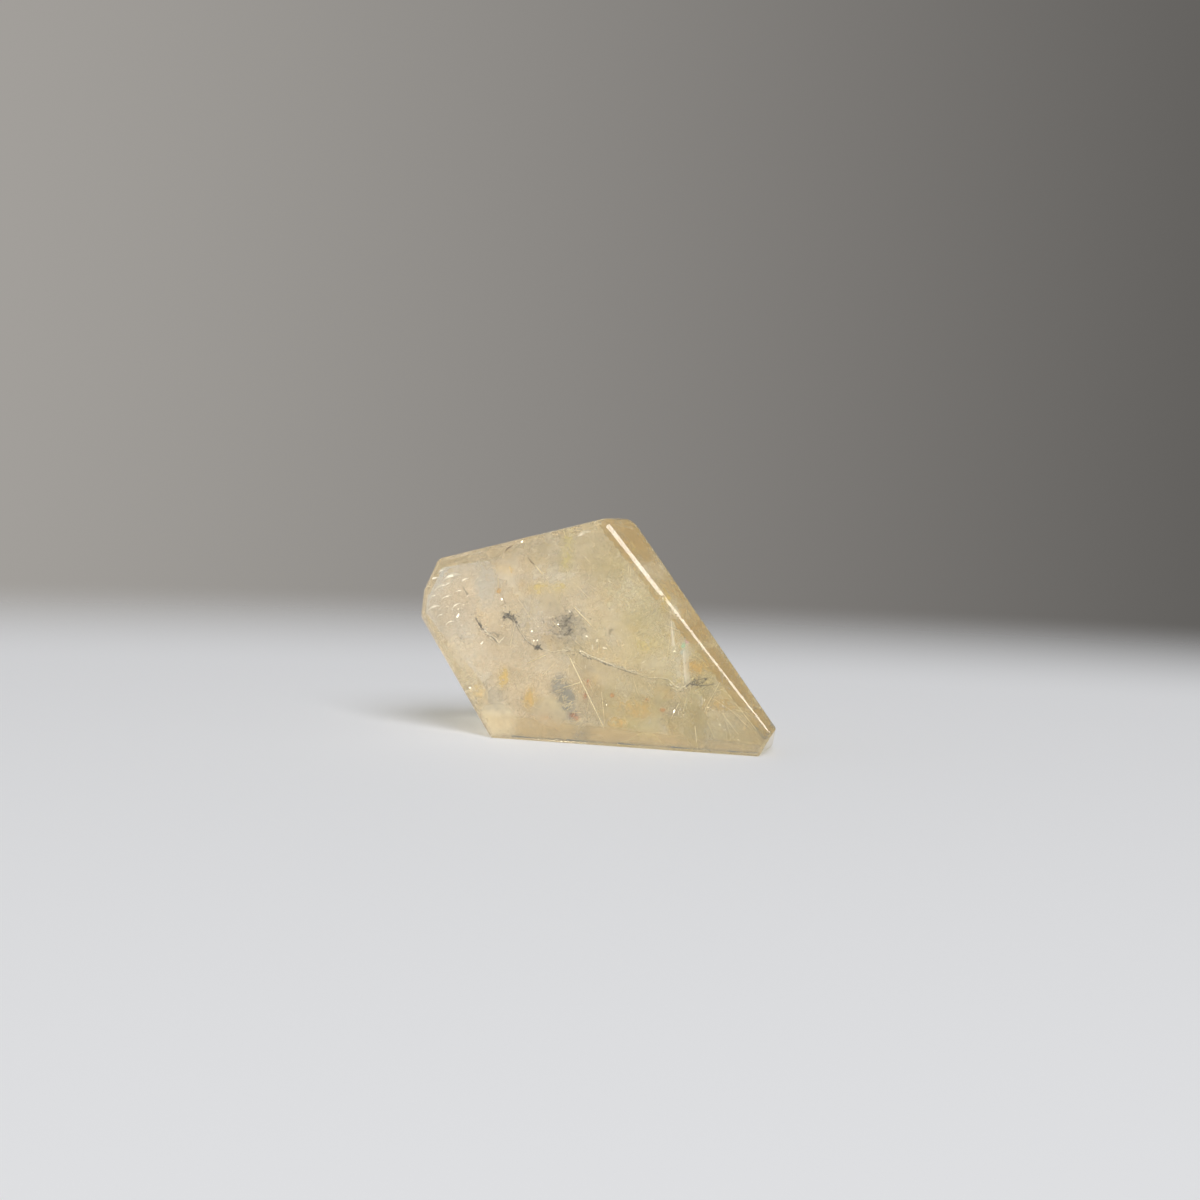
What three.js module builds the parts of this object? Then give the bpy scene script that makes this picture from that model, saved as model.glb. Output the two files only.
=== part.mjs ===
// Rutilated quartz freeform: one polished stone of clear golden quartz that stands on a flat base.
// Millimetres, +Z up. The stone's length runs along X, its broad front face looks along -Y, and the
// origin lies on the base, below the stone's heart.

import * as THREE from 'three';
import { ConvexGeometry } from 'three/addons/geometries/ConvexGeometry.js';

// The facets are flats around one point inside the stone, its heart.
const HEART_HEIGHT = 9;

// Each facet is given by the way it faces and by its distance from the heart in millimetres. The way it
// faces is a compass angle (0 is +X, 90 is +Y) and a tilt above the level, both in degrees.
const FACETS = {
  base: facet(0, -90, HEART_HEIGHT),
  // The broad polished window, which leans back a little.
  front: facet(-90, 6, 5.3),
  // The narrow band along the right of the window, and the blunt point that it runs down to.
  rightBevel: facet(-44, 36, 8.75),
  tip: facet(2, -28.5, 17.4),
  // The long slope behind the band.
  rightBack: facet(25, 33.5, 7.05),
  rightHeel: facet(52, -12, 11.8),
  // The gently sloping top, and the two flats that carry it down to the back.
  top: facet(145, 70, 10.4),
  topBack: facet(100, 42, 8.3),
  backShoulder: facet(66, 22, 7.2),
  // The left end, cut in three short steps above a long undercut.
  leftUpper: facet(178, 22, 17.5),
  leftEnd: facet(183, 3.5, 17.8),
  leftLower: facet(181, -35.5, 13.4),
  // The back, which the stone leans away from towards the left and below.
  back: facet(96, 4, 6.2),
  backLeft: facet(136, 2, 11.6),
  keel: facet(103, -36, 8.3),
};

// Tumbling and polishing rounded the edges: slightly in most places, more where an end sticks out.
const EDGE_RADIUS = 0.3;
const CROWN_RADIUS = 1.6;
const SHOULDER_RADIUS = 1;
const LEFT_END_RADIUS = 0.7;
const ROUND_STEPS = 4;

const STONE_COLOUR = 0xc9b88a;

function facet(compassDegrees, tiltDegrees, distance) {
  const compass = THREE.MathUtils.degToRad(compassDegrees);
  const tilt = THREE.MathUtils.degToRad(tiltDegrees);
  const level = Math.cos(tilt);
  const normal = new THREE.Vector3(level * Math.cos(compass), level * Math.sin(compass), Math.sin(tilt));
  return { normal, distance };
}

function cornerRadius(corner) {
  const has = (...facets) => facets.every((one) => corner.includes(one));
  if (has(FACETS.top, FACETS.rightBack)) {
    return CROWN_RADIUS;
  }
  if (has(FACETS.top, FACETS.rightBevel)) {
    return SHOULDER_RADIUS;
  }
  if (has(FACETS.leftEnd) || has(FACETS.leftUpper)) {
    return LEFT_END_RADIUS;
  }
  return EDGE_RADIUS;
}

// The centre of the ball that touches all three facets of a corner from inside, or null where the
// three never meet.
function ballCentre([a, b, c], radius) {
  const acrossBC = new THREE.Vector3().crossVectors(b.normal, c.normal);
  const acrossCA = new THREE.Vector3().crossVectors(c.normal, a.normal);
  const acrossAB = new THREE.Vector3().crossVectors(a.normal, b.normal);
  const openness = a.normal.dot(acrossBC);
  if (Math.abs(openness) < 1e-6) {
    return null;
  }
  return new THREE.Vector3()
    .addScaledVector(acrossBC, a.distance - radius)
    .addScaledVector(acrossCA, b.distance - radius)
    .addScaledVector(acrossAB, c.distance - radius)
    .divideScalar(openness);
}

// A corner is real when no other facet cuts its ball off.
function isInside(centre, radius) {
  const slack = 1e-6;
  return Object.values(FACETS).every(
    ({ normal, distance }) => normal.dot(centre) <= distance - radius + slack);
}

// Points over the part of the ball that lies between its three facets. Along an edge they depend on
// the edge's two facets alone, so the rounding runs straight from corner to corner.
function roundedCorner([a, b, c], centre, radius) {
  const points = [];
  for (let i = 0; i <= ROUND_STEPS; i += 1) {
    for (let j = 0; j <= ROUND_STEPS - i; j += 1) {
      const outward = new THREE.Vector3()
        .addScaledVector(a.normal, i)
        .addScaledVector(b.normal, j)
        .addScaledVector(c.normal, ROUND_STEPS - i - j)
        .normalize();
      points.push(outward.multiplyScalar(radius).add(centre));
    }
  }
  return points;
}

function stonePoints() {
  const facets = Object.values(FACETS);
  const points = [];
  for (let i = 0; i < facets.length; i += 1) {
    for (let j = i + 1; j < facets.length; j += 1) {
      for (let k = j + 1; k < facets.length; k += 1) {
        const corner = [facets[i], facets[j], facets[k]];
        const radius = cornerRadius(corner);
        const centre = ballCentre(corner, radius);
        if (centre !== null && isInside(centre, radius)) {
          points.push(...roundedCorner(corner, centre, radius));
        }
      }
    }
  }
  return points;
}

function stone() {
  const material = new THREE.MeshStandardMaterial({
    color: STONE_COLOUR,
    roughness: 0.05,
    metalness: 0,
    transparent: true,
    opacity: 0.6,
  });
  const mesh = new THREE.Mesh(new ConvexGeometry(stonePoints()), material);
  mesh.name = 'quartz_freeform';
  mesh.position.z = HEART_HEIGHT;
  return mesh;
}

const group = new THREE.Group();
group.add(stone());

export default group;
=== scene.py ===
"""Rutilated quartz freeform: the stone's polished look and what is sealed inside it."""

import math

import bmesh
import bpy
import numpy as np
from mathutils import Matrix, Vector, noise


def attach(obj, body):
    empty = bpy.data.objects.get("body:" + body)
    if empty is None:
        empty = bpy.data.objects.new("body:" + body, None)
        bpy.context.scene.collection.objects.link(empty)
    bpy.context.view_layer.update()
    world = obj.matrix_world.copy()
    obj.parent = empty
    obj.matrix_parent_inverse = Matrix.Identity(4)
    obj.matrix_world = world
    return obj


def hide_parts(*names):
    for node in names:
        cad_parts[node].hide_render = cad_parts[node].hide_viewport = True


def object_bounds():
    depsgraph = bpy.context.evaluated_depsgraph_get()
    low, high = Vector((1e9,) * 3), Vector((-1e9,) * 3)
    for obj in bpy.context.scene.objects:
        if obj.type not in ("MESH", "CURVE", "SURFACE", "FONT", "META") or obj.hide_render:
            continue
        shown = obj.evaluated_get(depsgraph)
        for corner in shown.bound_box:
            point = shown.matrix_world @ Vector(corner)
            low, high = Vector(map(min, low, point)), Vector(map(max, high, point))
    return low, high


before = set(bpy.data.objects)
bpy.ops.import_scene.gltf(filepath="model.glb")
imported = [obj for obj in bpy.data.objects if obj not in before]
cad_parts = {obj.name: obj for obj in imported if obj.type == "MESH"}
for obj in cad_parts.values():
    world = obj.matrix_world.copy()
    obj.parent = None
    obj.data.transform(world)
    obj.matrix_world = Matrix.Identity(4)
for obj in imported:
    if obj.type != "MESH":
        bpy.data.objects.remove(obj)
cad_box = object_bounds()

MM = 0.001
STONE = "quartz_freeform"
BODY = "root"
QUARTZ_INDEX = 1.544

# The stone's own look. LET_THROUGH is the share of a lamp's light that reaches what is sealed in it.
STONE_COLOUR = (0.95, 0.92, 0.82)
STONE_ROUGHNESS = 0.03
STONE_TRANSMISSION = 0.9
ABSORPTION_COLOUR = (0.86, 0.76, 0.46)
ABSORPTION_PER_METRE = 25
LET_THROUGH = (0.515, 0.51, 0.48)

# The camera stands where the photograph was taken from. The frame is FRAME_PX wide, and the stone's
# origin lies at ORIGIN_PX in it.
FRAME_PX = 1200
SENSOR_MM = 36
LENS_MM = 85
SCALE_MM_PER_PX = 0.0932
VIEW_AZIMUTH = math.radians(14)
VIEW_ELEVATION = math.radians(7.5)
VIEW_ROLL = math.radians(2.1)
ORIGIN_PX = (612, 737.3)


def direction(azimuth, elevation):
    """A unit vector. Azimuth 0 is +X and 90 is +Y, in degrees."""
    a, e = math.radians(azimuth), math.radians(elevation)
    return Vector((math.cos(a) * math.cos(e), math.sin(a) * math.cos(e), math.sin(e)))


def make_camera():
    """The origin is aimed at ORIGIN_PX by turning the camera, so no lens shift is needed."""
    focal_px = LENS_MM / SENSOR_MM * FRAME_PX
    back = Vector((
        math.sin(VIEW_AZIMUTH) * math.cos(VIEW_ELEVATION),
        -math.cos(VIEW_AZIMUTH) * math.cos(VIEW_ELEVATION),
        math.sin(VIEW_ELEVATION),
    ))
    off_x = ORIGIN_PX[0] - FRAME_PX / 2
    off_y = ORIGIN_PX[1] - FRAME_PX / 2
    cos_roll, sin_roll = math.cos(VIEW_ROLL), math.sin(VIEW_ROLL)
    level_x = cos_roll * off_x + sin_roll * off_y
    level_y = cos_roll * off_y - sin_roll * off_x
    pan = math.atan(level_x / focal_px)
    pitch = VIEW_ELEVATION - math.atan(level_y / focal_px * math.cos(pan))
    heading = math.atan2(-back.y, -back.x) + pan
    forward = Vector((
        math.cos(heading) * math.cos(pitch),
        math.sin(heading) * math.cos(pitch),
        -math.sin(pitch),
    ))
    right = forward.cross(Vector((0, 0, 1))).normalized()
    up = right.cross(forward)
    camera_x = cos_roll * right + sin_roll * up
    camera_y = cos_roll * up - sin_roll * right
    data = bpy.data.cameras.new("camera")
    data.lens = LENS_MM
    data.sensor_width = SENSOR_MM
    data.clip_start = 0.01
    data.clip_end = 20
    camera = bpy.data.objects.new("camera", data)
    turn = Matrix((camera_x, camera_y, -forward)).transposed()
    distance = focal_px * SCALE_MM_PER_PX * MM
    camera.matrix_world = Matrix.Translation(back * distance) @ turn.to_4x4()
    bpy.context.collection.objects.link(camera)
    bpy.context.scene.camera = camera


def link(name, mesh, material):
    """Adds a piece that rides with the stone."""
    piece = bpy.data.objects.new(name, mesh)
    piece.data.materials.append(material)
    bpy.context.collection.objects.link(piece)
    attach(piece, BODY)
    return piece


# Nodes

def new_material(name, **values):
    """A new material, its node tree and its main shader. Values go to the shader's sockets by name."""
    material = bpy.data.materials.new(name)
    material.use_nodes = True
    shader = material.node_tree.nodes["Principled BSDF"]
    for key, value in values.items():
        shader.inputs[key.replace("_", " ")].default_value = value
    return material, material.node_tree, shader


def node(tree, kind, **values):
    """A new node. Values go to its sockets by name, or to its properties."""
    made = tree.nodes.new(kind)
    for key, value in values.items():
        name = key.replace("_", " ")
        if name in made.inputs:
            made.inputs[name].default_value = value
        else:
            setattr(made, key, value)
    return made


def stone_material():
    """Clear quartz that bends what is behind it. Lamps reach what is sealed in it straight."""
    material, tree, shader = new_material(
        "quartz", Base_Color=(*STONE_COLOUR, 1), Roughness=STONE_ROUGHNESS, IOR=QUARTZ_INDEX,
        Transmission_Weight=STONE_TRANSMISSION)
    absorption = node(
        tree, "ShaderNodeVolumeAbsorption", Color=(*ABSORPTION_COLOUR, 1), Density=ABSORPTION_PER_METRE)
    let_through = node(tree, "ShaderNodeBsdfTransparent", Color=(*LET_THROUGH, 1))
    ray = tree.nodes.new("ShaderNodeLightPath")
    either = tree.nodes.new("ShaderNodeMixShader")
    output = tree.nodes["Material Output"]
    tree.links.new(ray.outputs["Is Shadow Ray"], either.inputs[0])
    tree.links.new(shader.outputs[0], either.inputs[1])
    tree.links.new(let_through.outputs[0], either.inputs[2])
    tree.links.new(either.outputs[0], output.inputs["Surface"])
    tree.links.new(absorption.outputs["Volume"], output.inputs["Volume"])
    return material


# The front face and the bevel to its right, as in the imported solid, in millimetres and degrees.
FRONT_AZIMUTH = -90
FRONT_TILT = 6
FRONT_NORMAL = direction(FRONT_AZIMUTH, FRONT_TILT)
RIGHT_BEVEL = direction(-44, 36)
RIGHT_BEVEL_DISTANCE = 8.75
HEART = Vector((0, 0, 9))
# Chips on the edge between the two: x and height, radius and depth. Cuts around each make it finer.
CHIPS = [(5.45, 13.6, 0.34, 0.10), (10.55, 6.75, 0.30, 0.08)]
CHIP_CUTS = 9
CHIP_CUT_REACH = 1.3
CHIP_STEEPNESS = 2.5
CHIP_NOISE_PER_MM = 6
# Faces at least this large are the stone's flats. Two normals this close are the same one.
FLAT_AREA_MM2 = 2.0
SAME_NORMAL = 0.99995
WELD_M = 1e-7
CUT_WELD_M = 1e-8


def flat_normals(shape):
    """The normals of the stone's flat facets."""
    found = []
    for face in shape.faces:
        for entry in found:
            if entry[0].dot(face.normal) > SAME_NORMAL:
                entry[1] += face.calc_area()
                break
        else:
            found.append([face.normal.copy(), face.calc_area()])
    return [normal for normal, area in found if area > FLAT_AREA_MM2 * MM * MM]


def polished_normals(shape, flats):
    """Each point's normal: its flat's where it borders one, else the mean of the rounded strips around it."""
    made = []
    for vert in shape.verts:
        around = []
        for face in vert.link_faces:
            if all(face.normal.dot(other) < SAME_NORMAL for other in around):
                around.append(face.normal.copy())
        on_flat = [flat for flat in flats if any(flat.dot(n) > SAME_NORMAL for n in around)]
        total = on_flat[0] if on_flat else sum(around, Vector())
        made.append(total.normalized())
    return made


def make_stone():
    """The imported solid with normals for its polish, chipped at two places along the front edge."""
    shape = bmesh.new()
    shape.from_mesh(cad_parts[STONE].data)
    bmesh.ops.remove_doubles(shape, verts=shape.verts, dist=WELD_M)
    edge = FRONT_NORMAL.cross(RIGHT_BEVEL).normalized()
    outward = (FRONT_NORMAL + RIGHT_BEVEL).normalized()
    across = edge.cross(outward)
    centres = []
    for x, z, radius, _ in CHIPS:
        y = (FRONT_DISTANCE - FRONT_NORMAL.z * z) / FRONT_NORMAL.y
        centres.append(Vector((x, y, z)) * MM)
        for way in (edge, across):
            for step in range(CHIP_CUTS):
                offset = CHIP_CUT_REACH * radius * MM * (2 * step / (CHIP_CUTS - 1) - 1)
                geometry = shape.verts[:] + shape.edges[:] + shape.faces[:]
                bmesh.ops.bisect_plane(
                    shape, geom=geometry, plane_co=centres[-1] + way * offset, plane_no=way,
                    dist=CUT_WELD_M)
    bmesh.ops.triangulate(shape, faces=shape.faces[:])
    shape.normal_update()
    normals = polished_normals(shape, flat_normals(shape))
    moved = set()
    for centre, (_, _, radius, depth) in zip(centres, CHIPS):
        for vert in shape.verts:
            near = 1 - (vert.co - centre).length / (radius * MM)
            if near > 0:
                rough = 0.7 + 0.6 * noise.noise(vert.co / MM * CHIP_NOISE_PER_MM)
                vert.co -= outward * (depth * MM * min(1, CHIP_STEEPNESS * near) * rough)
                moved.add(vert.index)
    shape.verts.ensure_lookup_table()
    shape.normal_update()
    for index in moved:
        normals[index] = shape.verts[index].normal.copy()
    stone = bpy.data.meshes.new("stone")
    shape.to_mesh(stone)
    shape.free()
    stone.shade_smooth()
    stone.normals_split_custom_set_from_vertices(normals)
    piece = link("stone", stone, stone_material())
    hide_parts(STONE)


# Shapes sealed in the stone

# A straight strand is tapered over this share of its length at each end.
TIP_SHARE = 0.06
# The sides of a strand are laid out from this direction.
STRAND_FACING = Vector((0.3, 1, 0.2))


class Shapes:
    """Collects many small closed shapes into one mesh. All lengths are in millimetres."""

    def __init__(self):
        self.points = []
        self.faces = []

    def add(self, points, faces):
        """Faces count from this shape's own first point."""
        first = len(self.points)
        self.points.extend(points)
        self.faces.extend([tuple(first + i for i in face) for face in faces])

    def tube(self, path, radius, sides=5):
        """A strand with pointed ends. The radius is a number, or a function of the share of its length."""
        path = [Vector(p) for p in path]
        points = [path[0]]
        faces = []
        if len(path) > 2:
            inner = path[1:-1]
        else:
            inner = [path[0].lerp(path[1], t) for t in (TIP_SHARE, 1 - TIP_SHARE)]
        ring_count = len(inner)
        whole = [path[0]] + inner + [path[-1]]
        for i, centre in enumerate(inner):
            along = (whole[i + 2] - whole[i]).normalized()
            side = along.cross(STRAND_FACING).normalized()
            out = side.cross(along)
            size = radius(i / max(1, ring_count - 1)) if callable(radius) else radius
            for k in range(sides):
                angle = 2 * math.pi * k / sides
                points.append(centre + size * (math.cos(angle) * side + math.sin(angle) * out))
        points.append(path[-1])
        last = len(points) - 1
        for k in range(sides):
            nxt = (k + 1) % sides
            faces.append((0, 1 + nxt, 1 + k))
            for r in range(ring_count - 1):
                a, b = 1 + r * sides + k, 1 + r * sides + nxt
                faces.append((a, b, b + sides, a + sides))
            end = 1 + (ring_count - 1) * sides
            faces.append((end + k, end + nxt, last))
        self.add(points, faces)

    def flake(self, centre, facing, length, width, turn, thickness=0.04):
        """A thin six-sided plate. Its thickness is a share of its width."""
        facing = Vector(facing).normalized()
        across = facing.cross(Vector((0.1, 0.2, 1))).normalized()
        up = across.cross(facing)
        along = math.cos(turn) * across + math.sin(turn) * up
        side = facing.cross(along)
        centre = Vector(centre)
        rim = []
        for k in range(6):
            angle = math.pi * k / 3
            rim.append(centre + length * math.cos(angle) * along + width * math.sin(angle) * side)
        points = rim + [centre + thickness * width * facing, centre - thickness * width * facing]
        faces = []
        for k in range(6):
            nxt = (k + 1) % 6
            faces.append((k, nxt, 6))
            faces.append((nxt, k, 7))
        self.add(points, faces)

    def grain(self, centre, size, random):
        """A small angular lump."""
        centre = Vector(centre)
        axes = np.linalg.qr(random.normal(size=(3, 3)))[0] * (size * random.uniform(0.5, 1.2, (3, 1)))
        points = []
        for axis in axes:
            points.append(centre + Vector(axis))
            points.append(centre - Vector(axis))
        faces = [(0, 2, 4), (2, 1, 4), (1, 3, 4), (3, 0, 4), (2, 0, 5), (1, 2, 5), (3, 1, 5), (0, 3, 5)]
        self.add(points, faces)

    def piece(self, name, material, smooth=True):
        """Makes one piece of all the shapes."""
        mesh = bpy.data.meshes.new(name)
        mesh.from_pydata([tuple(p * MM) for p in map(Vector, self.points)], [], self.faces)
        if smooth:
            mesh.shade_smooth()
        link(name, mesh, material)


# Places in the stone

def stone_planes():
    """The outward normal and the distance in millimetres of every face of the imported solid."""
    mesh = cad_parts[STONE].data
    normals = np.array([p.normal for p in mesh.polygons])
    points = np.array([mesh.vertices[p.vertices[0]].co for p in mesh.polygons]) / MM
    return normals, np.einsum("ij,ij->i", normals, points)


NORMALS, DISTANCES = stone_planes()
FRONT_DISTANCE = max(
    d for n, d in zip(NORMALS, DISTANCES) if Vector(n).dot(FRONT_NORMAL) > 0.9999)


def depth_inside(point):
    """How far a point lies below the nearest face, in millimetres. It is negative outside."""
    return float((DISTANCES - NORMALS @ np.asarray(point)).min())


def behind_front(x, z, depth):
    """The point that lies depth behind the front face's point at x and height z."""
    y = (FRONT_DISTANCE - FRONT_NORMAL.z * z) / FRONT_NORMAL.y
    return Vector((x, y, z)) - FRONT_NORMAL * float(depth)


def stroke(x, z, angle, half, depths):
    """Both ends of a short line behind the front face, with the depth of each."""
    dx, dz = half * math.cos(angle), half * math.sin(angle)
    return [behind_front(x - dx, z - dz, depths[0]), behind_front(x + dx, z + dz, depths[1])]


# The random needles stay at least NEEDLE_MARGIN below the faces. One of which less than SHORTEST_SHARE
# can stay is left out.
NEEDLE_MARGIN = 0.12
SHORTEST_SHARE = 0.15


def clipped(middle, way, half):
    """The ends of what can stay of a needle that runs half its length to both sides, or None."""
    start, end = np.asarray(middle - way * half, float), np.asarray(middle + way * half, float)
    run = end - start
    room = DISTANCES - NEEDLE_MARGIN - NORMALS @ start
    rate = NORMALS @ run
    first, last = 0.0, 1.0
    outward = rate > 1e-9
    inward = rate < -1e-9
    if outward.any():
        last = min(last, (room[outward] / rate[outward]).min())
    if inward.any():
        first = max(first, (room[inward] / rate[inward]).max())
    if last - first < SHORTEST_SHARE:
        return None
    return Vector(start + first * run), Vector(start + last * run)


def random_inside(random, margin):
    """A random point that lies more than margin below the faces."""
    low = np.array(cad_box[0]) / MM
    high = np.array(cad_box[1]) / MM
    while True:
        point = random.uniform(low, high)
        if depth_inside(point) > margin:
            return point


RUTILE_INDEX = 2.0


def strand_material(name, colour, roughness, metallic):
    """The look of needles, grains and flakes."""
    return new_material(
        name, Base_Color=(*colour, 1), Roughness=roughness, Metallic=metallic, IOR=RUTILE_INDEX)[0]


FILM_NOISE_DETAIL = 5.0
FILM_NOISE_ROUGHNESS = 0.62
FILM_ROUGHNESS = 0.5
FILM_GLOW = 0.45


def film_material(name, colour, most, scale, low, high):
    """A thin film. Its alpha is a noise in patches times the fade kept with its points.

    The noise has the given scale, and the alpha rises to most between its values low and high. The
    colour is a function that makes its nodes, or None for the tint kept with the points.
    """
    material, tree, shader = new_material(name, Roughness=FILM_ROUGHNESS)
    place = tree.nodes.new("ShaderNodeTexCoord")
    patches = node(
        tree, "ShaderNodeTexNoise", Scale=scale, Detail=FILM_NOISE_DETAIL, Roughness=FILM_NOISE_ROUGHNESS)
    tree.links.new(place.outputs["Object"], patches.inputs["Vector"])
    spread = node(tree, "ShaderNodeMapRange", From_Min=low, From_Max=high, To_Max=most)
    tree.links.new(patches.outputs["Fac"], spread.inputs["Value"])
    fade = node(tree, "ShaderNodeAttribute", attribute_name="fade")
    alpha = node(tree, "ShaderNodeMath", operation="MULTIPLY")
    tree.links.new(spread.outputs["Result"], alpha.inputs[0])
    tree.links.new(fade.outputs["Fac"], alpha.inputs[1])
    if colour is None:
        source = node(tree, "ShaderNodeAttribute", attribute_name="tint").outputs["Color"]
    else:
        source = colour(tree, place)
    tree.links.new(source, shader.inputs["Base Color"])
    glow = tree.nodes.new("ShaderNodeBsdfTranslucent")
    tree.links.new(source, glow.inputs["Color"])
    body = tree.nodes.new("ShaderNodeMixShader")
    body.inputs[0].default_value = FILM_GLOW
    tree.links.new(shader.outputs[0], body.inputs[1])
    tree.links.new(glow.outputs[0], body.inputs[2])
    clear = tree.nodes.new("ShaderNodeBsdfTransparent")
    whole = tree.nodes.new("ShaderNodeMixShader")
    tree.links.new(alpha.outputs[0], whole.inputs[0])
    tree.links.new(clear.outputs[0], whole.inputs[1])
    tree.links.new(body.outputs[0], whole.inputs[2])
    tree.links.new(whole.outputs[0], tree.nodes["Material Output"].inputs["Surface"])
    return material


# The stone's own tones from its left end to its right end.
TONES = [
    (0.00, (0.96, 0.86, 0.74)),
    (0.30, (0.93, 0.83, 0.68)),
    (0.50, (0.88, 0.80, 0.60)),
    (0.72, (0.82, 0.75, 0.45)),
    (1.00, (0.82, 0.67, 0.36)),
]
TONES_FROM_X = -17
TONES_TO_X = 16
# A soft noise shifts the tones along the stone by up to half of this share of its length.
TONE_DRIFT = 0.9
TONE_DRIFT_SCALE = 220.0
# Patches over them: colour, noise scale, and the noise values between which they rise.
TONE_PATCHES = [
    ((0.97, 0.95, 0.90), 260.0, 0.52, 0.68),
    ((0.86, 0.66, 0.28), 340.0, 0.58, 0.74),
    ((0.62, 0.60, 0.56), 300.0, 0.60, 0.76),
]
TONE_PATCH_STRENGTH = 0.85


def body_tint(tree, place):
    """The tone at a place: TONES along the stone, shifted by a soft noise, with TONE_PATCHES."""
    axes = tree.nodes.new("ShaderNodeSeparateXYZ")
    tree.links.new(place.outputs["Object"], axes.inputs[0])
    along = node(tree, "ShaderNodeMapRange", From_Min=TONES_FROM_X * MM, From_Max=TONES_TO_X * MM)
    tree.links.new(axes.outputs["X"], along.inputs["Value"])
    drift = node(tree, "ShaderNodeTexNoise", Scale=TONE_DRIFT_SCALE, Detail=1.0)
    tree.links.new(place.outputs["Object"], drift.inputs["Vector"])
    shift = node(tree, "ShaderNodeMath", operation="MULTIPLY_ADD")
    shift.inputs[1].default_value = TONE_DRIFT
    shift.inputs[2].default_value = -TONE_DRIFT / 2
    tree.links.new(drift.outputs["Fac"], shift.inputs[0])
    total = node(tree, "ShaderNodeMath", operation="ADD")
    tree.links.new(along.outputs["Result"], total.inputs[0])
    tree.links.new(shift.outputs[0], total.inputs[1])
    ramp = tree.nodes.new("ShaderNodeValToRGB")
    stops = ramp.color_ramp.elements
    while len(stops) < len(TONES):
        stops.new(0.5)
    for stop, (position, colour) in zip(stops, TONES):
        stop.position = position
        stop.color = (*colour, 1)
    tree.links.new(total.outputs[0], ramp.inputs["Fac"])
    tone = ramp.outputs["Color"]
    for number, (colour, scale, low, high) in enumerate(TONE_PATCHES):
        moved = node(tree, "ShaderNodeVectorMath", operation="ADD")
        moved.inputs[1].default_value = (number + 1.0, 0.5, 0.25)
        tree.links.new(place.outputs["Object"], moved.inputs[0])
        cloud = node(tree, "ShaderNodeTexNoise", Scale=scale, Detail=2.0)
        tree.links.new(moved.outputs[0], cloud.inputs["Vector"])
        rise = node(
            tree, "ShaderNodeMapRange", From_Min=low, From_Max=high, To_Max=TONE_PATCH_STRENGTH)
        tree.links.new(cloud.outputs["Fac"], rise.inputs["Value"])
        over = node(tree, "ShaderNodeMix", data_type="RGBA")
        tree.links.new(rise.outputs["Result"], over.inputs[0])
        tree.links.new(tone, over.inputs[6])
        over.inputs[7].default_value = (*colour, 1)
        tone = over.outputs[2]
    return tone


# Films fade out from RIM_START + RIM_WIDTH to RIM_START below the faces, in millimetres. They are cut
# off at RIM_CUT of RIM_START.
RIM_START = 0.1
RIM_WIDTH = 0.3
RIM_CUT = 0.8
BEND_NOISE_PER_MM = 0.22
BEND_SEED_SPACING = 7.3


class Films:
    """Collects thin bent sheets, with a fade and a tint at each point. Lengths are in millimetres."""

    def __init__(self):
        self.points = []
        self.faces = []
        self.fades = []
        self.tints = []

    def sheet(self, middle, facing, half_sizes, step, bend, seed, fade, tint=(1, 1, 1), turn=0.0):
        """fade gives the film's strength at u and v, which run from -1 to 1 across the sheet."""
        facing = Vector(facing).normalized()
        across = facing.cross(Vector((0.05, 0.1, 1))).normalized()
        up = across.cross(facing)
        cosine, sine = math.cos(turn), math.sin(turn)
        across, up = cosine * across - sine * up, cosine * up + sine * across
        counts = [max(2, round(2 * half / step)) for half in half_sizes]
        points, strengths = [], []
        for i in range(counts[0] + 1):
            for j in range(counts[1] + 1):
                u, v = 2 * i / counts[0] - 1, 2 * j / counts[1] - 1
                point = Vector(middle) + across * (u * half_sizes[0]) + up * (v * half_sizes[1])
                place = point * BEND_NOISE_PER_MM + Vector((seed * BEND_SEED_SPACING, 0, 0))
                point += facing * (bend * noise.noise(place))
                points.append(point)
                strengths.append(fade(u, v))
        rooms = (DISTANCES[None, :] - np.array(points) @ NORMALS.T).min(axis=1)
        strengths = np.array(strengths) * np.clip((rooms - RIM_START) / RIM_WIDTH, 0, 1)
        used = {}
        width = counts[1] + 1
        for i in range(counts[0]):
            for j in range(counts[1]):
                corners = (i * width + j, i * width + j + 1, (i + 1) * width + j + 1, (i + 1) * width + j)
                if min(rooms[c] for c in corners) < RIM_START * RIM_CUT:
                    continue
                if max(strengths[c] for c in corners) <= 0:
                    continue
                for c in corners:
                    if c not in used:
                        used[c] = len(self.points)
                        self.points.append(points[c])
                        self.fades.append(float(strengths[c]))
                        self.tints.append(tint)
                self.faces.append(tuple(used[c] for c in corners))

    def piece(self, name, material):
        """Makes one piece of all the sheets. It casts no shadow, so that the inside stays bright."""
        mesh = bpy.data.meshes.new(name)
        mesh.from_pydata([tuple(p * MM) for p in self.points], [], self.faces)
        mesh.shade_smooth()
        fade = mesh.attributes.new("fade", "FLOAT", "POINT")
        fade.data.foreach_set("value", self.fades)
        tint = mesh.attributes.new("tint", "FLOAT_COLOR", "POINT")
        tint.data.foreach_set("color", [v for t in self.tints for v in (*t, 1)])
        piece = link(name, mesh, material)
        piece.visible_shadow = False


def everywhere(u, v):
    """The fade of a sheet that is full all over."""
    return 1


def soft_disc(gain):
    """A fade that is full in the middle and gone at the rim."""
    return lambda u, v: min(1, gain * max(0, 1 - math.hypot(u, v)))


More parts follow.
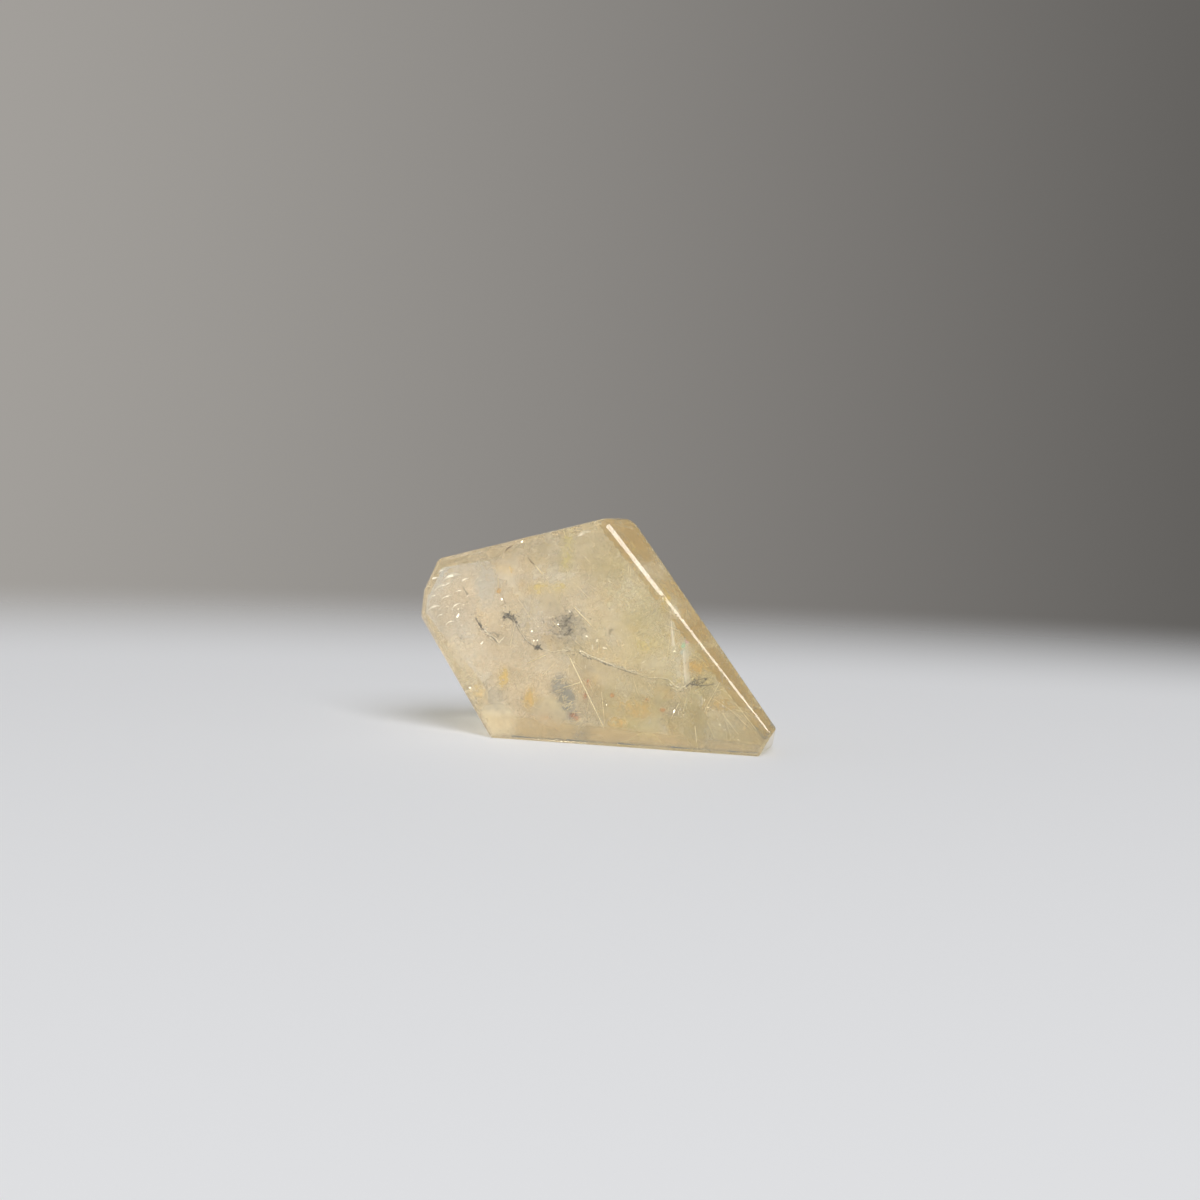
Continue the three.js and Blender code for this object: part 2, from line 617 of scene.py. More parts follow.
# Where the healed fracture shows behind the front face, from left to right: x and height.
FRACTURE_LINE = [
    (-14.2, 14.1), (-13.5, 13.0), (-12.9, 12.0), (-12.6, 11.0), (-12.2, 10.3), (-11.5, 9.7), (-10.8, 9.2),
    (-10.1, 8.8), (-9.8, 9.6), (-9.5, 10.9), (-9.1, 11.4), (-8.7, 11.3), (-8.3, 10.8), (-7.6, 9.8),
    (-6.8, 8.8), (-6.1, 8.5), (-4.7, 8.2), (-3.4, 8.4), (-2.1, 8.3), (-0.1, 7.6), (1.8, 7.1), (3.2, 6.9),
    (4.6, 6.4), (6.1, 5.9), (7.5, 5.4), (8.6, 6.0), (9.7, 6.5), (11.0, 7.0),
]
FRACTURE_DEPTH = 0.7
# Its shards start a little nearer to the front, and its strands lie nearer still.
SHARD_DEPTH = FRACTURE_DEPTH - 0.15
DARK_STRAND_DEPTH = 0.45
PALE_STRAND_DEPTH = 0.42


def along_line(line, step):
    """Points a fixed step apart on a line of x and height pairs."""
    made = []
    for (x0, z0), (x1, z1) in zip(line, line[1:]):
        count = max(1, round(math.hypot(x1 - x0, z1 - z0) / step))
        for i in range(count):
            t = i / count
            made.append((x0 + (x1 - x0) * t, z0 + (z1 - z0) * t))
    made.append(line[-1])
    return made


# The strands that the fracture's line is made of: radius and course, as x and height.
FRACTURE_DARK = [
    (0.060, [(-12.16, 10.93), (-11.92, 10.52), (-11.63, 10.16), (-11.44, 9.98)]),
    (0.085, [(-11.85, 10.45), (-11.63, 10.16), (-11.50, 10.02)]),
    (0.046, [(-11.47, 9.96), (-10.93, 9.60), (-10.35, 9.19), (-9.87, 8.66)]),
    (0.036, [(-11.21, 9.66), (-10.74, 9.54), (-10.28, 9.62), (-9.96, 9.46), (-9.77, 9.18)]),
    (0.062, [(-9.60, 10.98), (-9.29, 11.27), (-8.92, 11.34), (-8.63, 11.16), (-8.37, 10.83), (-8.22, 10.52)]),
    (0.070, [(-9.50, 10.94), (-9.09, 11.12), (-8.71, 10.95), (-8.41, 10.63)]),
    (0.046, [(-9.30, 11.10), (-8.95, 11.22), (-8.60, 10.85)]),
    (0.030, [(-8.22, 10.50), (-7.97, 10.07), (-7.71, 9.70), (-7.31, 9.22), (-6.64, 8.73), (-6.22, 8.59)]),
    (0.132, [(-6.20, 8.66), (-6.02, 8.58), (-5.86, 8.50)]),
    (0.062, [(-6.00, 8.62), (-5.73, 8.38)]),
    (0.034, [(-13.58, 13.71), (-13.31, 13.30), (-13.00, 12.86)]),
    (0.012, [(-12.90, 12.79), (-12.54, 12.14), (-12.14, 11.07)]),
    (0.022, [(-0.80, 7.85), (0.62, 7.38), (1.95, 7.00), (3.41, 6.62)]),
    (0.016, [(4.62, 6.30), (5.63, 6.46), (6.45, 6.30)]),
    (0.054, [(8.03, 5.78), (8.40, 6.14), (8.83, 6.08), (9.26, 5.98)]),
    (0.034, [(9.26, 5.98), (10.11, 6.10), (10.73, 6.28)]),
    (0.028, [(8.60, 6.27), (9.22, 6.56), (10.07, 6.74)]),
]
FRACTURE_PALE = [
    (0.035, [(-11.31, 9.84), (-10.58, 9.36), (-10.06, 9.08), (-9.77, 8.72), (-9.30, 9.30)]),
    (0.014, [(-8.15, 10.50), (-7.90, 10.07), (-7.64, 9.70), (-7.24, 9.22), (-6.57, 8.75)]),
    (0.030, [(-2.11, 8.55), (-1.01, 8.06), (-0.12, 7.78)]),
    (0.050, [(-0.30, 7.84), (0.62, 7.50), (1.40, 7.24)]),
    (0.024, [(1.30, 7.26), (1.95, 7.12), (2.76, 6.90), (3.41, 6.76)]),
    (0.014, [(3.41, 6.76), (4.08, 6.52), (4.62, 6.40), (5.63, 6.54), (6.45, 6.39)]),
    (0.022, [(6.45, 6.39), (7.02, 5.88), (7.57, 5.69)]),
    (0.040, [(7.00, 5.88), (7.57, 5.66), (8.02, 5.92)]),
    (0.010, [(-5.60, 8.46), (-4.70, 8.22), (-3.40, 8.42), (-2.20, 8.52)]),
]
# How many dark and bright shards go with each step of the line up to each x, and their size.
FRACTURE_STRETCHES = [
    (-11.9, 0.3, 0.2, 0.05), (-10.3, 0.7, 0.8, 0.06), (-9.5, 0.1, 0.5, 0.05), (-7.9, 1.6, 0.3, 0.08),
    (-6.6, 0.6, 0.3, 0.05), (-5.7, 1.3, 0.4, 0.07), (-2.2, 0.6, 0.6, 0.06), (3.1, 1.2, 1.4, 0.08),
    (6.4, 1.3, 0.8, 0.06), (7.6, 0.9, 1.2, 0.07), (9.9, 1.8, 0.7, 0.07), (12.0, 0.5, 0.3, 0.05),
]
FRACTURE_STEP = 0.12
# The strands waver by this much at each short step, and their thickness swells and shrinks.
FRAY_STEP = 0.09
FRAY = 0.009


def jagged(x, z):
    """How far the shards leave the fracture's line, in broad and fine waves."""
    broad = noise.noise(Vector((x * 1.3, z * 1.3, 0)))
    fine = noise.noise(Vector((x * 5, z * 5, 4)))
    return 0.30 * broad + 0.14 * fine


def frayed(course, random):
    """A course in short steps, each a little off it."""
    steps = along_line(course, FRAY_STEP)
    inner = [(x + random.normal(0, FRAY), z + random.normal(0, FRAY)) for x, z in steps[1:-1]]
    return [steps[0]] + inner + [steps[-1]]


def swelling(radius):
    """A strand's radius along its length."""
    return lambda t: radius * (0.95 + 0.25 * math.sin(9 * t + 40 * radius))


# The film behind the line, in sheets that each span this many of the line's steps and run this far
# back on both sides of their middle.
SHEET_STEPS = 6
SHEET_HALF_SIZES = (0.6, 2.4)
SHEET_FACING = (0, -0.35, 1)


def make_fracture():
    """The healed crack: a faint film that runs back from a jagged line of dark and bright shards."""
    line = along_line(FRACTURE_LINE, FRACTURE_STEP)
    films = Films()
    for (x0, z0), (x1, z1) in zip(line[::SHEET_STEPS], line[SHEET_STEPS::SHEET_STEPS]):
        middle = behind_front(
            (x0 + x1) / 2, (z0 + z1) / 2 + 0.5, FRACTURE_DEPTH + SHEET_HALF_SIZES[1])
        films.sheet(
            middle, SHEET_FACING, SHEET_HALF_SIZES, step=0.3, bend=0.5, seed=5,
            fade=lambda u, v: 1 - abs(v))
    look = film_material("fracture_film", body_tint, most=0.6, scale=700, low=0.40, high=0.60)
    films.piece("healed_fracture", look)
    random = np.random.default_rng(19)
    dark, bright = Shapes(), Shapes()
    for (x0, z0), (x1, z1) in zip(line, line[1:]):
        dark_share, bright_share, size = next(row[1:] for row in FRACTURE_STRETCHES if x0 < row[0])
        jag = jagged(x0, z0)
        slope = math.atan2(z1 - z0, x1 - x0)
        for shapes, share, drop in ((dark, dark_share, -0.03), (bright, bright_share, 0.04)):
            for _ in range(random.poisson(share)):
                x = x0 + random.normal(0, 0.05)
                z = z0 + jag + drop + random.normal(0, 0.45 * size)
                point = behind_front(x, z, SHARD_DEPTH + abs(random.normal(0, 0.10)))
                if depth_inside(point) < 0.3:
                    continue
                facing = Vector((random.normal(0, 0.35), -1, random.normal(0, 0.35)))
                length = size * random.uniform(0.5, 2.0)
                turn = -slope + random.normal(0, 0.5)
                width = length * random.uniform(0.12, 0.4)
                shapes.flake(point, facing, length, width, turn, thickness=0.2)
    for shapes, strands, depth in (
        (dark, FRACTURE_DARK, DARK_STRAND_DEPTH),
        (bright, FRACTURE_PALE, PALE_STRAND_DEPTH),
    ):
        for radius, course in strands:
            path = [behind_front(x, z, depth) for x, z in frayed(course, random)]
            shapes.tube(path, swelling(radius), sides=6)
    shadow = strand_material("fracture_shadow", (0.03, 0.03, 0.03), roughness=0.7, metallic=0)
    dark.piece("fracture_dark", shadow, smooth=False)
    light = strand_material("fracture_light", (0.96, 0.91, 0.78), roughness=0.35, metallic=0)
    bright.piece("fracture_bright", light, smooth=False)


# Soft spots of colour: x, height and depth, half width and half height, colour. Most are iron staining;
# the green, pink and blue ones near the top of the pale wing are painted sheen, a thin crack's rainbow
# reflection.
STAINS_AND_SHEEN = [
    (-2.3, 2.6, 0.7, 0.45, 0.22, (0.72, 0.22, 0.06)), (-2.0, 2.3, 0.6, 0.25, 0.16, (0.80, 0.30, 0.08)),
    (-5.0, 2.2, 0.7, 0.40, 0.22, (0.85, 0.45, 0.12)), (-10.1, 13.5, 0.6, 0.28, 0.25, (0.82, 0.50, 0.14)),
    (-1.1, 5.6, 0.7, 0.22, 0.35, (0.66, 0.26, 0.12)), (-1.3, 4.3, 0.7, 0.20, 0.40, (0.70, 0.30, 0.14)),
    (-9.2, 5.5, 0.8, 0.45, 0.90, (0.90, 0.68, 0.18)), (-6.2, 13.9, 0.8, 0.90, 0.50, (0.90, 0.74, 0.24)),
    (9.6, 7.7, 0.8, 1.00, 0.50, (0.88, 0.62, 0.18)), (-3.9, 17.4, 0.9, 0.60, 1.60, (0.80, 0.72, 0.26)),
    (0.7, 10.4, 0.5, 0.16, 0.22, (0.32, 0.20, 0.08)), (4.5, 4.4, 0.8, 0.25, 0.18, (0.80, 0.48, 0.20)),
    (6.0, 3.6, 0.8, 0.30, 0.20, (0.78, 0.42, 0.18)), (1.2, 4.6, 0.8, 0.20, 0.20, (0.74, 0.40, 0.16)),
    (5.6, 14.5, 0.9, 0.60, 1.80, (0.84, 0.66, 0.16)), (2.8, 18.2, 0.9, 1.10, 0.70, (0.86, 0.72, 0.22)),
    (-11.5, 4.2, 0.8, 0.70, 0.60, (0.92, 0.74, 0.40)), (-9.8, 15.5, 0.9, 0.80, 0.40, (0.90, 0.70, 0.34)),
    (1.8, 2.2, 0.8, 0.90, 0.50, (0.90, 0.66, 0.28)), (-6.6, 3.8, 0.9, 0.50, 0.90, (0.88, 0.66, 0.26)),
    # Painted sheen: the thin crack's rainbow reflection, in green, pink and blue.
    (7.6, 9.5, 0.45, 0.20, 0.26, (0.45, 0.95, 0.75)),
    (7.9, 9.9, 0.45, 0.16, 0.20, (0.95, 0.65, 0.85)), (7.5, 8.9, 0.45, 0.16, 0.22, (0.60, 0.80, 1.00)),
    (3.4, 3.6, 1.0, 1.60, 0.90, (0.80, 0.60, 0.26)), (8.4, 7.6, 0.9, 0.90, 0.60, (0.80, 0.56, 0.18)),
    (5.8, 5.2, 1.0, 0.80, 0.50, (0.80, 0.60, 0.28)), (-4.4, 14.1, 0.9, 0.60, 0.40, (0.88, 0.74, 0.26)),
    (11.6, 4.4, 0.8, 1.00, 0.60, (0.76, 0.54, 0.20)), (4.2, 9.4, 1.1, 1.00, 0.60, (0.84, 0.74, 0.36)),
]
# Pale clouds in the same form. The near-white ones in the lower left, left of x -10 and below a height
# of 9, are painted light: the glow where light gathers in that corner.
PATCHES = [
    (-6.3, 11.0, 1.1, 2.30, 1.90, (0.80, 0.78, 0.80)), (-5.2, 15.2, 1.0, 2.40, 1.10, (0.98, 0.97, 0.95)),
    (7.3, 8.0, 1.0, 0.90, 2.20, (0.97, 0.97, 0.95)), (-12.6, 4.6, 0.9, 1.50, 1.60, (1.00, 0.96, 0.86)),
    (-10.4, 1.2, 0.8, 1.60, 0.90, (1.00, 0.93, 0.78)), (-14.8, 12.4, 1.0, 1.90, 2.20, (0.86, 0.78, 0.68)),
    (1.4, 13.6, 1.1, 2.20, 1.60, (0.92, 0.90, 0.74)), (-13.4, 8.6, 0.9, 1.40, 1.80, (1.00, 0.92, 0.80)),
    (6.4, 11.4, 1.0, 0.50, 1.90, (0.98, 0.97, 0.92)), (-6.6, 5.2, 1.0, 2.20, 1.60, (0.97, 0.88, 0.74)),
    (-11.6, 1.0, 0.6, 1.00, 0.60, (1.00, 0.97, 0.88)), (-10.0, 15.4, 1.2, 3.40, 1.60, (0.82, 0.74, 0.62)),
    (1.5, 17.6, 1.0, 3.00, 1.80, (0.66, 0.60, 0.42)), (4.6, 13.6, 1.1, 2.00, 2.40, (0.72, 0.67, 0.47)),
    # Painted highlight along the lower left edges, just behind the front face.
    (-11.9, 0.6, 0.15, 1.30, 0.70, (1.00, 1.00, 0.97)), (-12.6, 2.4, 0.3, 0.90, 1.20, (1.00, 0.98, 0.92)),
    (5.0, 10.0, 1.2, 2.60, 2.00, (0.84, 0.78, 0.58)),
    (-6.0, 17.6, 0.8, 3.40, 0.90, (0.84, 0.77, 0.64)), (-15.2, 11.0, 1.6, 1.90, 2.60, (0.84, 0.76, 0.66)),
]
# Grey films in the same form, painted shade: the dark that clear spots show, seen into the depth.
SEE_THROUGH_SHADE = [
    (-3.9, 5.3, 0.8, 0.80, 0.90, (0.38, 0.40, 0.43)), (-3.0, 3.8, 0.85, 0.80, 1.20, (0.34, 0.37, 0.41)),
    (-2.3, 2.6, 0.9, 0.50, 0.70, (0.42, 0.43, 0.45)), (-1.4, 1.2, 0.8, 0.85, 0.70, (0.42, 0.42, 0.42)),
    (-3.2, 10.8, 1.2, 1.50, 1.40, (0.72, 0.69, 0.64)), (-9.8, 3.4, 1.1, 1.00, 1.20, (0.62, 0.58, 0.52)),
    (-11.9, 2.6, 0.9, 0.50, 0.60, (0.55, 0.52, 0.48)), (6.9, 3.8, 1.0, 0.90, 0.60, (0.66, 0.60, 0.48)),
    (-4.6, 12.8, 1.2, 0.90, 0.60, (0.66, 0.62, 0.56)), (-7.2, 12.6, 1.2, 0.70, 0.60, (0.70, 0.67, 0.62)),
]
# The three kinds: name, rows, strongest alpha, and the noise values between which it rises.
SPOT_KINDS = [
    ("stains_and_sheen", STAINS_AND_SHEEN, 0.85, 0.30, 0.62),
    ("pale_patches", PATCHES, 0.62, 0.34, 0.66),
    ("grey_see_through_shade", SEE_THROUGH_SHADE, 0.90, 0.36, 0.56),
]
# A sheet is larger than its spot by this much, because the spot fades towards the sheet's rim.
SPOT_MARGIN = 1.5
SPOT_NOISE_SCALE = 1500
# Warm films above the base, a painted reflection of the lit stone that the base mirrors from inside:
# how deep behind the front they lie, and how strong they are.
BASE_REFLECTION_FILMS = [(0.2, 0.8), (0.6, 1.0), (1.1, 1.0)]
BASE_REFLECTION_TINT = (0.78, 0.65, 0.42)
# The pale glow in the lower left corner, painted light where light gathers in it: x, height and depths.
CORNER_GLOW = (-9.6, 1.4, (0.15, 0.45))
CORNER_TINT = (1.0, 0.96, 0.84)
# Ochre films under the right bevel, painted shade: the darker, deeper yellow that the slanted look into
# the stone gives the bevel.
BEVEL_SHADE_DEPTHS = (0.25, 0.8)
BEVEL_SHADE_OCHRE = (0.52, 0.37, 0.12)


def wedge(u, v):
    """A pale wing, sharp at its left edge and fading to the right."""
    edge = -0.5 + 0.45 * (1 - v)
    past = -u - edge
    if past < 0:
        return 0
    return max(0, 1 - past / 0.8) * min(1, 2 * (1 - abs(v)))


def make_stains_and_painted_light():
    """Stains and painted sheen, grey painted shade and pale clouds, some painted glow, close behind the front
    face.
    """
    for name, rows, most, low, high in SPOT_KINDS:
        films = Films()
        for number, (x, z, depth, half_width, half_height, colour) in enumerate(rows):
            films.sheet(
                behind_front(x, z, depth), FRONT_NORMAL,
                (half_width * SPOT_MARGIN, half_height * SPOT_MARGIN),
                step=max(0.08, 0.12 * half_height), bend=0.2, seed=60 + number,
                fade=soft_disc(1.6), tint=colour)
        films.piece(name, film_material(name, None, most, SPOT_NOISE_SCALE, low, high))


def make_painted_base_light():
    """Painted light: the warm band that stands in for the base's reflection, and the lower left corner's
    glow.
    """
    films = Films()
    for depth, strength in BASE_REFLECTION_FILMS:
        films.sheet(
            behind_front(0, 0.5, depth), FRONT_NORMAL, (18, 1.5), step=0.25, bend=0.1, seed=90 + depth,
            fade=lambda u, v, s=strength: s * min(1, 2.2 * (1 - v)), tint=BASE_REFLECTION_TINT)
    x, z, depths = CORNER_GLOW
    for depth in depths:
        films.sheet(
            behind_front(x, z, depth), FRONT_NORMAL, (2.6, 2.2), step=0.15, bend=0.1, seed=93 + depth,
            fade=soft_disc(1.8), tint=CORNER_TINT)
    look = film_material("base_light_film", None, most=0.92, scale=420, low=0.24, high=0.54)
    films.piece("painted_base_light", look)


def make_bevel_shade():
    """Painted shade: ochre films that show through the bevel to the right of the front face and darken it."""
    films = Films()
    for depth in BEVEL_SHADE_DEPTHS:
        middle = HEART + RIGHT_BEVEL * (RIGHT_BEVEL_DISTANCE - depth)
        films.sheet(
            middle, RIGHT_BEVEL, (16, 16), step=0.4, bend=0.1, seed=95 + depth,
            fade=everywhere, tint=BEVEL_SHADE_OCHRE)
    look = film_material("bevel_shade_film", None, most=0.85, scale=300, low=0.34, high=0.56)
    films.piece("bevel_shade", look)


# The needles that show one by one: both ends as x, height and depth, and the radius.
LONG_NEEDLES = [
    ((-3.1, 8.0, 0.5), (0.77, 1.4, 0.6), 0.065),
    ((-7.0, 7.0, 0.6), (-5.2, 7.9, 0.5), 0.045),
    ((-3.5, 5.0, 0.6), (-1.8, 5.6, 0.6), 0.040),
    ((-2.9, 12.4, 0.5), (-1.1, 10.8, 0.6), 0.045),
    ((9.1, 2.4, 0.5), (9.45, 0.3, 0.6), 0.036),
    ((8.2, 4.9, 0.5), (7.9, 3.5, 0.6), 0.034),
    ((7.5, 4.3, 0.5), (6.8, 2.8, 0.6), 0.030),
    ((-6.8, 16.0, 0.5), (-6.0, 15.2, 0.6), 0.034),
]
# Families through the whole stone: number, heading, spread about it, lengths and radii.
NEEDLE_FAMILIES = [
    (90, direction(-20, -32), 0.30, (1.5, 6.0), (0.009, 0.022)),
    (110, direction(10, -62), 0.35, (1.5, 5.0), (0.009, 0.022)),
    (90, direction(80, 10), 0.9, (1.0, 4.0), (0.008, 0.018)),
]
# Left of this x, only some of the families' needles are kept.
SPARSE_LEFT_OF = -2
SPARSE_SHARE = 0.65
WINDOW_FIBRES = 60


def make_needles():
    """Golden rutile: the long needles, the fibres over the grey spots of painted shade and three fine
    families.
    """
    shapes = Shapes()
    for (x0, z0, d0), (x1, z1, d1), radius in LONG_NEEDLES:
        start, end = behind_front(x0, z0, d0), behind_front(x1, z1, d1)
        shapes.tube([start, end], radius)
    fibres = np.random.default_rng(47)
    for _ in range(WINDOW_FIBRES):
        t = fibres.uniform()
        x, z = -4.3 + 2.9 * t + fibres.normal(0, 0.28), 5.7 - 4.4 * t + fibres.normal(0, 0.30)
        angle, half = fibres.normal(0.75, 0.45), fibres.uniform(0.15, 0.55)
        shapes.tube(stroke(x, z, angle, half, (0.62, 0.58)), fibres.uniform(0.010, 0.022), sides=4)
    random = np.random.default_rng(11)
    for count, heading, spread, lengths, radii in NEEDLE_FAMILIES:
        for _ in range(count):
            middle = Vector(random_inside(random, 0.3))
            way = (heading + Vector(random.normal(0, spread, 3))).normalized()
            half = random.uniform(*lengths) / 2
            ends = clipped(middle, way, half)
            left_out = random.uniform() < SPARSE_SHARE and middle.x < SPARSE_LEFT_OF
            if ends and not left_out:
                shapes.tube(ends, random.uniform(*radii), sides=4)
    look = strand_material("rutile", (0.97, 0.88, 0.64), roughness=0.3, metallic=0.2)
    shapes.piece("golden_needles", look)


# Two dark strands near the top edge, as points of x, height and depth.
DARK_STRANDS = [
    [(-9.86, 17.0, 0.5), (-9.44, 17.4, 0.5), (-8.95, 17.7, 0.5)],
    [(-7.57, 16.76, 0.5), (-7.2, 16.3, 0.5), (-6.78, 15.96, 0.5)],
]
DARK_STRAND_RADIUS = 0.075
FINE_DARK_NEEDLES = 50


def make_dark_needles():
    """Dark rutile: the two strands near the top edge and a fine scatter."""
    shapes = Shapes()
    for strand in DARK_STRANDS:
        shapes.tube([behind_front(*p) for p in strand], DARK_STRAND_RADIUS)
    random = np.random.default_rng(5)
    for _ in range(FINE_DARK_NEEDLES):
        middle = Vector(random_inside(random, 0.4))
        way = Vector(random.normal(size=3)).normalized()
        half = random.uniform(0.4, 1.4) / 2
        ends = clipped(middle, way, half)
        if ends:
            shapes.tube(ends, random.uniform(0.012, 0.03), sides=4)
    look = strand_material("dark_rutile", (0.14, 0.08, 0.04), roughness=0.6, metallic=0)
    shapes.piece("dark_needles", look)


# Dark grains in groups: x, height and depth of the middle, spread along the three, number and size.
GRAIN_GROUPS = [
    ((-3.4, 10.4, 0.55), (0.95, 0.85, 0.1), 190, 0.085), ((-3.5, 11.3, 0.55), (0.4, 0.3, 0.1), 46, 0.11),
    ((-9.0, 11.3, 0.6), (0.40, 0.16, 0.15), 70, 0.09), ((-6.1, 8.55, 0.6), (0.14, 0.12, 0.1), 26, 0.13),
    ((-11.6, 10.1, 0.6), (0.12, 0.22, 0.1), 18, 0.09), ((2.6, 6.9, 0.6), (1.0, 0.15, 0.2), 40, 0.06),
    ((9.0, 6.35, 0.6), (0.55, 0.16, 0.2), 70, 0.07), ((0.7, 10.4, 0.5), (0.14, 0.16, 0.1), 18, 0.07),
    ((5.0, 5.9, 0.6), (1.2, 0.4, 0.3), 40, 0.05), ((-8.5, 3.0, 0.5), (1.8, 1.6, 0.2), 90, 0.07),
    ((-4.0, 9.0, 0.5), (1.8, 0.8, 0.2), 80, 0.06), ((3.0, 2.6, 0.5), (2.4, 1.3, 0.2), 80, 0.06),
    ((-13.2, 8.4, 0.5), (0.4, 0.8, 0.2), 26, 0.07), ((5.6, 12.5, 0.5), (1.6, 2.2, 0.2), 60, 0.06),
]
# Short dark strokes in the speckle cluster, and fine grains through the whole stone.
CLUSTER_STROKES = 46
FINE_GRAINS = 700


def make_grains():
    """Dark grains in groups, the strokes of the speckle cluster and the fine grains."""
    shapes = Shapes()
    random = np.random.default_rng(7)
    for (x, z, depth), spread, count, size in GRAIN_GROUPS:
        for _ in range(count):
            dx, dz, dd = random.normal(0, 1, 3) * spread
            point = behind_front(x + dx, z + dz, max(0.25, depth + dd))
            if depth_inside(point) > 0.15:
                shapes.grain(point, size * random.uniform(0.4, 1.0), random)
    for _ in range(CLUSTER_STROKES):
        x, z = random.normal(-3.3, 0.75), random.normal(10.5, 0.7)
        angle, half = random.normal(1.1, 0.7), random.uniform(0.08, 0.26)
        shapes.tube(stroke(x, z, angle, half, (0.6, 0.6)), random.uniform(0.018, 0.040), sides=4)
    for _ in range(FINE_GRAINS):
        point = random_inside(random, 0.25)
        shapes.grain(point, random.uniform(0.012, 0.04), random)
    look = strand_material("dark_grain", (0.04, 0.035, 0.03), roughness=0.7, metallic=0)
    shapes.piece("dark_grains", look, smooth=False)


# The way a flake faces to send the window's light to the camera.
GLINT_FACING = direction(-77, 18)
# Glints in groups: x, height and depth of the middle, spread, number and size.
GLINT_GROUPS = [
    ((2.4, 14.5, 0.6), 0.28, 9, 0.20), ((3.1, 11.6, 0.6), 0.20, 3, 0.12),
    ((-5.9, 15.0, 0.6), 0.45, 9, 0.16), ((-1.0, 8.4, 0.6), 0.80, 26, 0.14),
    ((-3.0, 11.3, 0.6), 0.80, 24, 0.10), ((7.4, 8.4, 0.6), 0.60, 12, 0.18),
    ((8.1, 3.4, 0.6), 0.60, 22, 0.17), ((-4.7, 1.8, 0.6), 0.35, 8, 0.15),
    ((-6.5, 10.6, 0.6), 0.70, 14, 0.10), ((-10.4, 0.9, 0.5), 0.60, 20, 0.14),
    ((-12.6, 5.6, 0.5), 1.00, 44, 0.10), ((-9.4, 4.0, 0.6), 1.40, 44, 0.10),
    ((5.0, 8.6, 0.6), 1.40, 20, 0.09), ((10.2, 5.0, 0.6), 1.00, 16, 0.10),
    ((-13.0, 11.0, 0.6), 1.40, 34, 0.12),
]
FINE_SPARKS = 1500


def make_glints():
    """Slim bright films in groups, and a fine scatter of sparks through the stone."""
    shapes = Shapes()
    random = np.random.default_rng(3)
    for (x, z, depth), spread, count, size in GLINT_GROUPS:
        for _ in range(count):
            dx, dz = random.normal(0, spread, 2)
            point = behind_front(x + dx, z + dz, depth + random.uniform(-0.2, 0.3))
            if depth_inside(point) < 0.3:
                continue
            facing = GLINT_FACING + Vector(random.normal(0, 0.15, 3))
            length = size * min(1.8, random.lognormal(-0.75, 0.65))
            slim = random.uniform(0.08, 0.30)
            shapes.flake(point, facing, length, length * slim, random.uniform(0, math.pi))
    for _ in range(FINE_SPARKS):
        point = random_inside(random, 0.35)
        length = random.uniform(0.03, 0.12)
        facing = GLINT_FACING * random.uniform(-1, 2) + Vector(random.normal(0, 0.7, 3))
        shapes.flake(point, facing, length, length * random.uniform(0.2, 0.6), random.uniform(0, math.pi))
    look = strand_material("air_film", (0.97, 0.96, 0.93), roughness=0.18, metallic=0.8)
    shapes.piece("glints", look, smooth=False)


# The crescent marks at the left end, painted reflections of small curved cracks: x, height and width.
SCALES = [
    (-15.6, 15.0, 0.9), (-14.7, 14.5, 1.4), (-15.7, 13.5, 1.0), (-17.0, 13.4, 0.5), (-15.1, 12.6, 0.8),
    (-16.2, 11.6, 0.9), (-14.1, 11.9, 0.7), (-14.6, 10.3, 0.7), (-15.0, 13.8, 0.7), (-16.4, 12.6, 0.5),
    (-14.0, 13.2, 0.5), (-15.6, 10.9, 0.5), (-13.4, 14.3, 0.6), (-16.2, 14.3, 0.5),
]
# One more of the same kind, under the crown.
CROWN_CRESCENT = (-2.4, 19.0, 1.1)
# The white of the painted marks.
MARK_TINT = (1, 0.98, 0.94)


def crescent(u, v):
    """A soft bow, full in the middle and thin at both ends."""
    off = abs(v + 0.2 - 0.55 * (1 - u * u))
    thick = 0.42 * (1 - u * u)
    return max(0, 1 - off / thick) ** 0.4 if thick > 0.02 else 0


def streak(u, v):
    """A sharp stroke that narrows upwards."""
    return min(1, 3 * (1 - abs(u))) if abs(u) < 0.45 - 0.4 * v else 0


